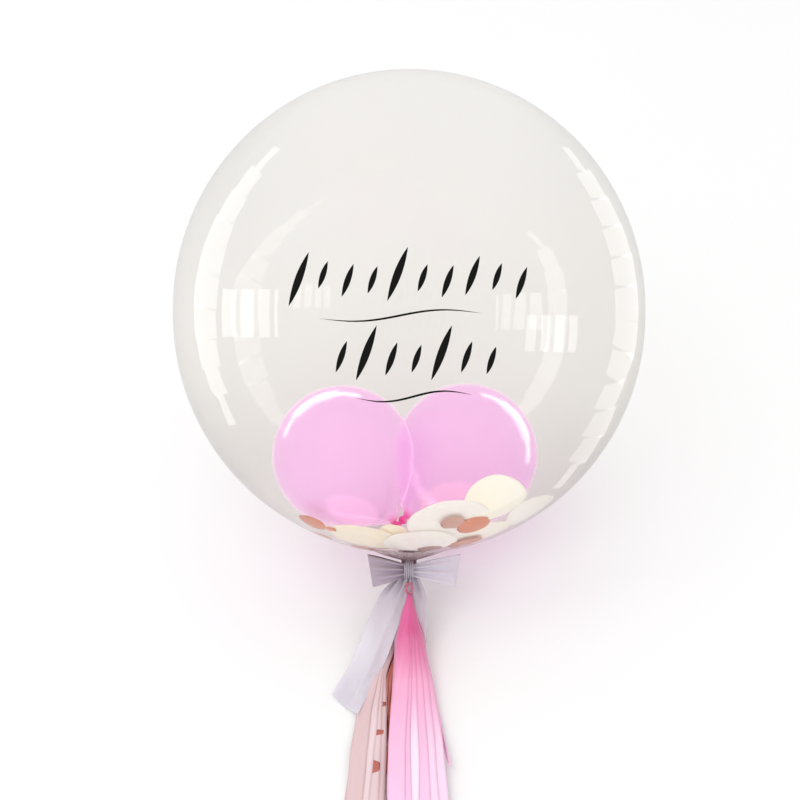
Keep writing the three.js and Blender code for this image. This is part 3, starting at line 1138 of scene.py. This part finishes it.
# How a strip differs from its neighbours: it wanders aside by a length, at a rate and from a phase, and
# has a paler tone, a curl at its tip, a breadth and a shift across its deck.
Look = namedtuple("Look", "wander rate phase tone curl breadth shift")
STRAY_LOOK = Look(wander=0.0, rate=0.0, phase=0.0, tone=0.0, curl=0.003, breadth=1.0, shift=0.0)

# The curl of foil peeks out at these distances forward, each with half of its length
CURL_PEEKS = ((0.149, 0.0042), (0.190, 0.0042), (0.235, 0.0080))
CURL_WIDTH = 0.0110
CURL_HIDDEN = 0.0085  # its middle lies this far inside the covering strip's edge
CURL_REACH = 0.30


def tissue_finish(name, stops, pale, tone_share):
    """Creased tissue whose colour runs along the strips, with some strips paler than others."""
    finish = Finish(name)
    along = finish.marked("along")
    tone = finish.marked("tone")
    grain = finish.cloud(1.0, detail=5.0, vector=finish.places((420.0, 60.0, 1.0), "UV"))
    crease = finish.cloud(1.0, detail=2.0, vector=finish.places((150.0, 9.0, 1.0), "UV"))
    base = finish.ramp(along + 0.10 * (crease - 0.5), stops)
    paper = finish.surface(
        Base_Color=finish.color(tone_share * tone + 0.15 * grain, base, pale),
        Roughness=0.70,
        Sheen_Weight=0.25,
        Sheen_Roughness=0.5,
        Normal=finish.bump(0.4 * grain + crease, 0.30, 0.0012),
    )
    return finish.finished(paper)


def tassel_line(head, forward, base):
    """Height of a tassel's line at a distance forward of its head, and the way that it faces there."""
    landing = head.y - LANDING_Y
    to_go = max(1 - forward / landing, 0.0)
    slope = 2 * (head.z - base) * to_go / landing
    return base + (head.z - base) * to_go**2, Vector((0, -slope, 1)).normalized()


def strip_place(lines, deck, share, look, forward):
    """A strip's middle line and width at a distance forward of the head."""
    left, right = between(lines, forward)
    spread = right - left
    width = min(deck.width * look.breadth, max(0.50 * spread, 0.003))
    middle = mix(left + width / 2, right - width / 2, clamp(share + look.shift))
    middle += look.wander * ease(forward, 0.06, 0.3) * math.sin(forward * look.rate + look.phase)
    return middle, width


def shared_lift(lines, deck, forward, x):
    """How high a deck stands over the tassel's line at a place: its height, its ripple and its head."""
    left, right = between(lines, forward)
    out = clamp((x - left) / (right - left))
    open_out = ease(forward, 0.015, 0.16)
    arch = math.sqrt(max(1 - (2 * out - 1) ** 2, 0))
    head_round = 0.40 * (right - left) * (1 - open_out) * deck.rounding * arch
    ripple = 0.0015 * open_out * (1 + math.sin(forward * 62 + 2.4 * out))
    return deck.height * (0.25 + 0.75 * open_out) + ripple + head_round


def add_strip(mesh, marks, head, lines, deck, share, reach, base, look):
    """One strip of a tassel. share is its place across the deck, from 0 to 1. Everything but its lean
    is shared with its neighbours, so that strips lie on each other and never cross."""

    def place(u, v):
        forward = v * reach
        middle, width = strip_place(lines, deck, share, look, forward)
        x = middle + (u - 0.5) * width
        high, face = tassel_line(head, forward, base)
        lift = shared_lift(lines, deck, forward, x) + deck.lean * (u - 0.5) * width
        lift += look.curl * ease(v, 0.95, 1.0)
        spot = Vector((x, head.y - forward, high)) + face * lift
        spot.z = max(spot.z, LOWEST_SHOWN)
        return spot

    values = {
        marks["along"]: lambda u, v: v * reach / PINK_REACH,
        marks["tone"]: lambda u, v: look.tone * ease(v * reach, 0.095, 0.19),
    }
    add_grid(mesh, 6, 84, place, (deck.width, reach), values)


def add_curl(mesh, marks, head, cover, lines):
    """A strip of foil under the right edge of a covering strip, which it peeks out of in three places."""
    deck, share, look, cover_head = cover

    def place(u, v):
        forward = v * CURL_REACH
        middle, cover_width = strip_place(lines, deck, share, look, forward)
        out = sum(math.exp(-(((forward - peek) / half) ** 6)) for peek, half in CURL_PEEKS)
        x = middle + cover_width / 2 - CURL_HIDDEN + CURL_WIDTH * out
        x = mix(head.x, x, ease(forward, 0.0, 0.10))
        x += (u - 0.5) * mix(0.003, CURL_WIDTH, ease(forward, 0.05, 0.12))
        high, face = tassel_line(cover_head, forward, 0.0)
        lift = shared_lift(lines, deck, forward, x) + deck.lean * (x - middle) - 0.0003
        high = mix(min(high, head.z), high + lift * face.z, ease(forward, 0.02, 0.08))
        return Vector((x, cover_head.y - forward + lift * face.y, max(high, LOWEST_SHOWN)))

    add_grid(mesh, 4, 320, place, (CURL_WIDTH, CURL_REACH), {marks["along"]: 0.5, marks["tone"]: 0.0})


def add_deck(mesh, marks, head, lines, deck, reach, base, draw):
    """A deck's strips, from one side to the other, each a little different. Gives back their looks."""
    looks = []
    for index in range(deck.count):
        share = index / max(deck.count - 1, 1)
        look = Look(
            wander=draw.uniform(0.0004, 0.0022),
            rate=draw.uniform(14, 30),
            phase=draw.uniform(0, 6.3),
            tone=clamp(draw.choice((0.0, 0.1, 0.4, 1.0)) * mix(0.7, 1.5, share)),
            curl=draw.uniform(0.0, 0.004),
            breadth=draw.uniform(0.75, 1.35),
            shift=draw.uniform(-0.3, 0.3) / max(deck.count - 1, 1) * (0 < index < deck.count - 1),
        )
        length = reach * draw.uniform(0.93, 1.0)
        add_strip(mesh, marks, head, lines, deck, share, length, base, look)
        looks.append((deck, share, look, head))
    return looks


def tassel_mesh():
    mesh = bmesh.new()
    return mesh, {key: mesh.verts.layers.float.new(key) for key in ("along", "tone")}


def finish_tassel(name, mesh, material, settings, node):
    made = piece(name, mesh, material, closed=False)
    give_thickness(made, settings.paper)
    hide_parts(node)


def make_twisted_loop(name, middle, semi_axes, material, level=False):
    """A small loop of twisted strip, upright in the bubble's frame or level round its neck."""
    mesh = bmesh.new()

    def place(u, v):
        around = 2 * math.pi * v
        section = 2 * math.pi * u
        ring = Vector((math.cos(around), 0, math.sin(around)))
        if level:
            ring = Vector((math.cos(around), math.sin(around), 0))
        flat = Vector((ring.x * semi_axes[0], ring.y * semi_axes[1], ring.z * semi_axes[1]))
        axis = UP if level else Vector((0, 1, 0))
        thick = LOOP_TUBE * (1 + 0.22 * math.cos(2 * section + 9 * around))
        return LEANING @ (middle + flat + (ring * math.cos(section) + axis * math.sin(section)) * thick)

    add_grid(mesh, 16, 96, place)
    bmesh.ops.remove_doubles(mesh, verts=mesh.verts, dist=1e-6)
    piece(name, mesh, material)


def make_pink_tassel(settings):
    """The front tassel: three decks of strips, a stray strip at its right, and a small foil loop."""
    # Painted shade: the strips are painted deep pink at the head, where the tissue lies layered and twisted,
    # and paler towards the tips.
    stops = (
        (0.08, settings.pink_deep),
        (0.24, settings.pink_mid),
        (0.48, tuple(mix(a, b, 0.55) for a, b in zip(settings.pink_mid, settings.pink_pale))),
        (0.85, settings.pink_pale),
    )
    tissue = tissue_finish("pink_paper", stops, pale=(0.94, 0.76, 0.90), tone_share=0.85)
    in_front = KNOT_FRONT - 2 * LOOP_TUBE
    head_below = TIE_END - 2 * FRONT_LOOP[1] - 2 * LOOP_TUBE
    head = lying(0, in_front, head_below)
    mesh, marks = tassel_mesh()
    draw = random.Random(5)
    for deck in PINK_DECKS:
        add_deck(mesh, marks, head, PINK_LINES, deck, PINK_REACH, PINK_BASE, draw)
    add_strip(mesh, marks, head, STRAY_LINES, STRAY_DECK, 0.5, STRAY_REACH, PINK_BASE, STRAY_LOOK)
    finish_tassel("pink_tassel_strips", mesh, tissue, settings, "pink_tassel")
    foil = foil_finish("pink_foil", settings.pink_foil)
    middle = Vector((0, in_front, head_below + FRONT_LOOP[1]))
    make_twisted_loop("pink_tassel_loop", middle, FRONT_LOOP, foil)


def rear_loop(below, down_skirt, side):
    """Middle and semi-axes of a loop that lies level round the skirt of film, below the tie, and the
    head of the tassel that hangs from it behind the neck."""
    height = TIE_END - below
    ring = mix(TIE_RADIUS, SKIRT_RADIUS, down_skirt) + GAP + LOOP_TUBE
    head = lying(side, math.sqrt((ring + 2 * LOOP_TUBE) ** 2 - side**2), height)
    return Vector((0, 0, height)), (ring, ring), head


def make_blush_tassel(settings):
    """The tassel behind on the left. Gives back its upper deck's strips."""
    stops = ((0.0, settings.beige), (0.3, settings.blush), (0.8, settings.blush))
    tissue = tissue_finish("blush_paper", stops, pale=(0.82, 0.66, 0.69), tone_share=0.7)
    middle, ring, head = rear_loop(below=0.004, down_skirt=0.25, side=-0.0068)
    mesh, marks = tassel_mesh()
    draw = random.Random(8)
    for deck in BLUSH_DECKS:
        strips = add_deck(mesh, marks, head, BLUSH_LINES, deck, BLUSH_REACH, 0.0, draw)
    finish_tassel("blush_tassel_strips", mesh, tissue, settings, "blush_tassel")
    make_twisted_loop("blush_tassel_loop", middle, ring, tissue, level=True)
    return strips


def make_foil_tassel(settings, cover):
    """The tassel between the other two, with a curl of foil under a covering strip of tissue."""
    foil = foil_finish("copper_foil", settings.copper)
    middle, ring, head = rear_loop(below=0.012, down_skirt=0.75, side=0.006)
    mesh, marks = tassel_mesh()
    draw = random.Random(3)
    for deck in FOIL_DECKS:
        add_deck(mesh, marks, head, FOIL_LINES, deck, FOIL_REACH, 0.0, draw)
    add_curl(mesh, marks, head, cover, BLUSH_LINES)
    finish_tassel("foil_tassel_strips", mesh, foil, settings, "foil_tassel")
    make_twisted_loop("foil_tassel_loop", middle, ring, foil, level=True)


class BALLOON_OT_tassels(bpy.types.Operator):
    """Makes the pink and blush tissue tassels and the foil tassel between them"""

    bl_idname = "balloon.tassels"
    bl_label = "Tassels"

    def execute(self, context):
        settings = context.scene.balloon_tassels
        make_pink_tassel(settings)
        covering = make_blush_tassel(settings)
        make_foil_tassel(settings, covering[1])
        return {"FINISHED"}


# The stage


# Where the camera looks past the bubble's middle, in its frame
CAMERA_RIGHT = -0.0107
CAMERA_UP = -0.108
SENSOR_WIDTH = 36.0  # millimetres
FLOOR_HALF = 6.0
SOFTBOX_PLACE = Vector((-1.5, -1.5, 3.4))
SOFTBOX_SIZE = (2.6, 2.6)
SOFTBOX_RADIANCE = 1.9


class StageSettings(bpy.types.PropertyGroup):
    floor: color_setting("Floor", "Colour of the floor", (0.89, 0.89, 0.89))
    lens: FloatProperty(name="Lens", description="Focal length in millimetres", default=85.0)
    distance: length_setting("Distance", "From the camera to the bubble's middle", 2.254)
    room_light: FloatProperty(name="Room light", description="Strength of the light all round", default=1.0)


class GlintSettings(bpy.types.PropertyGroup):
    strength: FloatProperty(name="Strength", description="Of the lights seen in the gloss", default=1.0)


# A crescent of light in the gloss of a mirror, from one turn to another, in degrees from the right. Its
# tips and the outer and inner sides of its middle are shares of the mirror's radius.
Crescent = namedtuple("Crescent", "name mirror start end tip outer inner radiance steps")
CRESCENTS = (
    Crescent("glint_film_left", "film", 129, 212, 0.88, 0.915, 0.815, 2.4, 10),
    Crescent("glint_film_right", "film", 46, -50, 0.955, 0.975, 0.875, 1.6, 12),
    Crescent("glint_latex_left", "left", 162, 74, 0.87, 0.93, 0.82, 11.0, 4),
    Crescent("glint_latex_right", "right", 76, -8, 0.87, 0.93, 0.82, 11.0, 4),
)
# A window in the film's gloss. Its sides and its panes' widths are shares of the film's radius.
Window = namedtuple("Window", "name left low high widths")
WINDOWS = (
    Window("window_left", -0.790, -0.090, 0.083, (0.060, 0.054, 0.048, 0.016)),
    Window("window_right", 0.502, -0.155, -0.012, (0.042, 0.038, 0.038, 0.034)),
)
PANE_GAP = 0.020
PANE_RADIANCE = 2.6
GLINT_REACH = 0.6  # from a mirror to the lights that show in it


def add_panel(name, middle, across, facing, size, radiance, shines_on=None):
    """A soft panel of light that the camera doesn't see itself, facing a way square to across. Where
    it shines on a few pieces only, it shows in their gloss and lights nothing else."""
    data = bpy.data.lights.new(name, "AREA")
    data.shape = "RECTANGLE"
    data.size, data.size_y = size
    data.energy = radiance * math.pi * size[0] * size[1]
    light = bpy.data.objects.new(name, data)
    across = across.normalized()
    back = -(facing - across * facing.dot(across)).normalized()
    turned = Matrix((across, back.cross(across), back)).transposed().to_4x4()
    light.matrix_world = Matrix.Translation(middle) @ turned
    light.visible_camera = False
    light.visible_diffuse = shines_on is None
    light.visible_glossy = shines_on is not None
    if shines_on:
        receivers = bpy.data.collections.new(f"{name}_receivers")
        for made in shines_on:
            receivers.objects.link(made)
        light.light_linking.receiver_collection = receivers
    bpy.context.scene.collection.objects.link(light)


def mirrored(camera, mirror, spot):
    """Where a light shows in a round mirror at a spot, and the direction from there to the mirror. A
    mirror is a middle and a radius. A spot is a turn in degrees from the right, anticlockwise in the
    picture, and its distance from the mirror's middle as a share of its radius."""
    middle, radius = mirror
    turn, share = spot
    turn = math.radians(turn)
    across = Vector((math.cos(turn), 0, math.sin(turn))) * radius * share
    eye = camera - middle
    ray = (across - eye).normalized()
    near = -eye.dot(ray)
    half_chord = math.sqrt(max(radius**2 - (eye + ray * near).length_squared, 0))
    point = eye + ray * (near - half_chord)
    normal = point.normalized()
    away = TURNED @ (ray - normal * 2 * ray.dot(normal))
    start = LEANING @ (point + middle)
    reach = GLINT_REACH
    if away.z < 0:
        reach = min(reach, (start.z - 0.01) / -away.z)
    return start + away * reach, -away


def add_glint(name, camera, mirror, spots, radiance, shines_on):
    """A panel of light that shows in a mirror between four spots: the start and end of its outer side,
    then of its inner side."""
    places, ways = zip(*(mirrored(camera, mirror, spot) for spot in spots))
    along = (places[1] + places[3] - places[0] - places[2]) / 2
    aside = (places[0] + places[1] - places[2] - places[3]) / 2
    aside -= along * aside.dot(along) / along.length_squared
    middle = sum(places, Vector()) / 4
    add_panel(name, middle, along, sum(ways, Vector()), (along.length, aside.length), radiance, shines_on)


def add_crescent(name, camera, mirror, crescent, shines_on):
    """A row of panels that shows in a mirror as one crescent."""
    steps = crescent.steps
    spots = []
    for step in range(steps + 1):
        turn = mix(crescent.start, crescent.end, step / steps)
        swell = math.sin(math.pi * step / steps) ** 0.6
        spots.append([(turn, mix(crescent.tip, side, swell)) for side in (crescent.outer, crescent.inner)])
    for step, (before, after) in enumerate(zip(spots, spots[1:])):
        corners = (before[0], after[0], before[1], after[1])
        add_glint(f"{name}_{step}", camera, mirror, corners, crescent.radiance, shines_on)


def add_window(window, camera, mirror, radiance, shines_on):
    """A row of upright panels that shows in a mirror as a window's panes."""
    left = window.left
    for pane, width in enumerate(window.widths):
        corners = [(side, up) for up in (window.high, window.low) for side in (left, left + width)]
        spots = [(math.degrees(math.atan2(up, side)), math.hypot(up, side)) for side, up in corners]
        add_glint(f"{window.name}_{pane}", camera, mirror, spots, radiance, shines_on)
        left += width + PANE_GAP


def add_camera(settings):
    data = bpy.data.cameras.new("camera")
    data.lens = settings.lens
    data.sensor_width = SENSOR_WIDTH
    camera = bpy.data.objects.new("camera", data)
    view = Matrix.Rotation(math.pi / 2, 4, "X")
    place = Matrix.Translation(lying(CAMERA_RIGHT, -settings.distance, CAMERA_UP))
    camera.matrix_world = place @ TURNED.to_4x4() @ view
    bpy.context.scene.collection.objects.link(camera)
    bpy.context.scene.camera = camera


def floor_finish(settings):
    finish = Finish("floor_paint")
    cloud = finish.cloud(3.0, detail=4.0)
    shade = tuple(0.985 * channel for channel in settings.floor)
    paint = finish.surface(
        Base_Color=finish.color(cloud, settings.floor, shade),
        Roughness=0.75,
        Normal=finish.bump(finish.cloud(400.0), 0.02, 0.001),
    )
    return finish.finished(paint)


def add_world(settings):
    world = bpy.data.worlds.new("room")
    world.use_nodes = True
    background = world.node_tree.nodes["Background"]
    background.inputs["Color"].default_value = (1.0, 1.0, 1.0, 1.0)
    background.inputs["Strength"].default_value = settings.room_light
    bpy.context.scene.world = world


class BALLOON_OT_stage(bpy.types.Operator):
    """Sets the floor, the lights and the camera"""

    bl_idname = "balloon.stage"
    bl_label = "Stage"

    def execute(self, context):
        settings = context.scene.balloon_stage
        mesh = bmesh.new()
        bmesh.ops.create_grid(mesh, x_segments=4, y_segments=4, size=FLOOR_HALF)
        data = bpy.data.meshes.new("floor")
        mesh.to_mesh(data)
        mesh.free()
        data.materials.append(floor_finish(settings))
        floor = bpy.data.objects.new("floor", data)
        context.scene.collection.objects.link(floor)
        add_world(settings)
        add_camera(settings)
        context.scene.view_settings.view_transform = "Standard"
        towards = lying(0, 0, 0) - SOFTBOX_PLACE
        add_panel("softbox", SOFTBOX_PLACE, Vector((1, -1, 0)), towards, SOFTBOX_SIZE, SOFTBOX_RADIANCE)
        return {"FINISHED"}


class BALLOON_OT_glints(bpy.types.Operator):
    """Sets the soft lights that show in the gloss of the film and of the inner balloons"""

    bl_idname = "balloon.glints"
    bl_label = "Glints"

    def execute(self, context):
        strength = context.scene.balloon_glints.strength
        camera = Vector((CAMERA_RIGHT, -context.scene.balloon_stage.distance, CAMERA_UP))
        inner = context.scene.balloon_inner
        mirrors = {
            "film": ((Vector(), RADIUS), "bubble_film"),
            "left": ((LEFT_MIDDLE, inner.left_radius), "inner_balloon_left"),
            "right": ((RIGHT_MIDDLE, inner.right_radius), "inner_balloon_right"),
        }
        for crescent in CRESCENTS:
            mirror, shown_on = mirrors[crescent.mirror]
            crescent = crescent._replace(radiance=crescent.radiance * strength)
            add_crescent(crescent.name, camera, mirror, crescent, [bpy.data.objects[shown_on]])
        film, shown_on = mirrors["film"]
        for window in WINDOWS:
            add_window(window, camera, film, PANE_RADIANCE * strength, [bpy.data.objects[shown_on]])
        return {"FINISHED"}


# The add-on


class BALLOON_PT_panel(bpy.types.Panel):
    """Lists the balloon's pieces and their sizes"""

    bl_label = "Bubble balloon"
    bl_idname = "BALLOON_PT_panel"
    bl_space_type = "VIEW_3D"
    bl_region_type = "UI"
    bl_category = "Balloon"

    def draw(self, context):
        for operator, group, _ in STEPS:
            box = self.layout.box()
            box.operator(operator.bl_idname)
            settings = getattr(context.scene, group)
            for name in settings.bl_rna.properties.keys():
                if name not in ("rna_type", "name"):
                    box.prop(settings, name)


STEPS = (
    (BALLOON_OT_stage, "balloon_stage", StageSettings),
    (BALLOON_OT_film, "balloon_film", FilmSettings),
    (BALLOON_OT_inner_balloons, "balloon_inner", InnerBalloonSettings),
    (BALLOON_OT_discs, "balloon_discs", DiscSettings),
    (BALLOON_OT_strokes, "balloon_strokes", StrokeSettings),
    (BALLOON_OT_ribbon, "balloon_ribbon", RibbonSettings),
    (BALLOON_OT_tassels, "balloon_tassels", TasselSettings),
    (BALLOON_OT_glints, "balloon_glints", GlintSettings),
)


def register():
    for operator, group, settings in STEPS:
        bpy.utils.register_class(settings)
        setattr(bpy.types.Scene, group, bpy.props.PointerProperty(type=settings))
        bpy.utils.register_class(operator)
    bpy.utils.register_class(BALLOON_PT_panel)


def unregister():
    bpy.utils.unregister_class(BALLOON_PT_panel)
    for operator, group, settings in reversed(STEPS):
        bpy.utils.unregister_class(operator)
        delattr(bpy.types.Scene, group)
        bpy.utils.unregister_class(settings)


def main():
    register()
    for operator, _, _ in STEPS:
        module, name = operator.bl_idname.split(".")
        getattr(getattr(bpy.ops, module), name)()


if __name__ == "__main__":
    main()
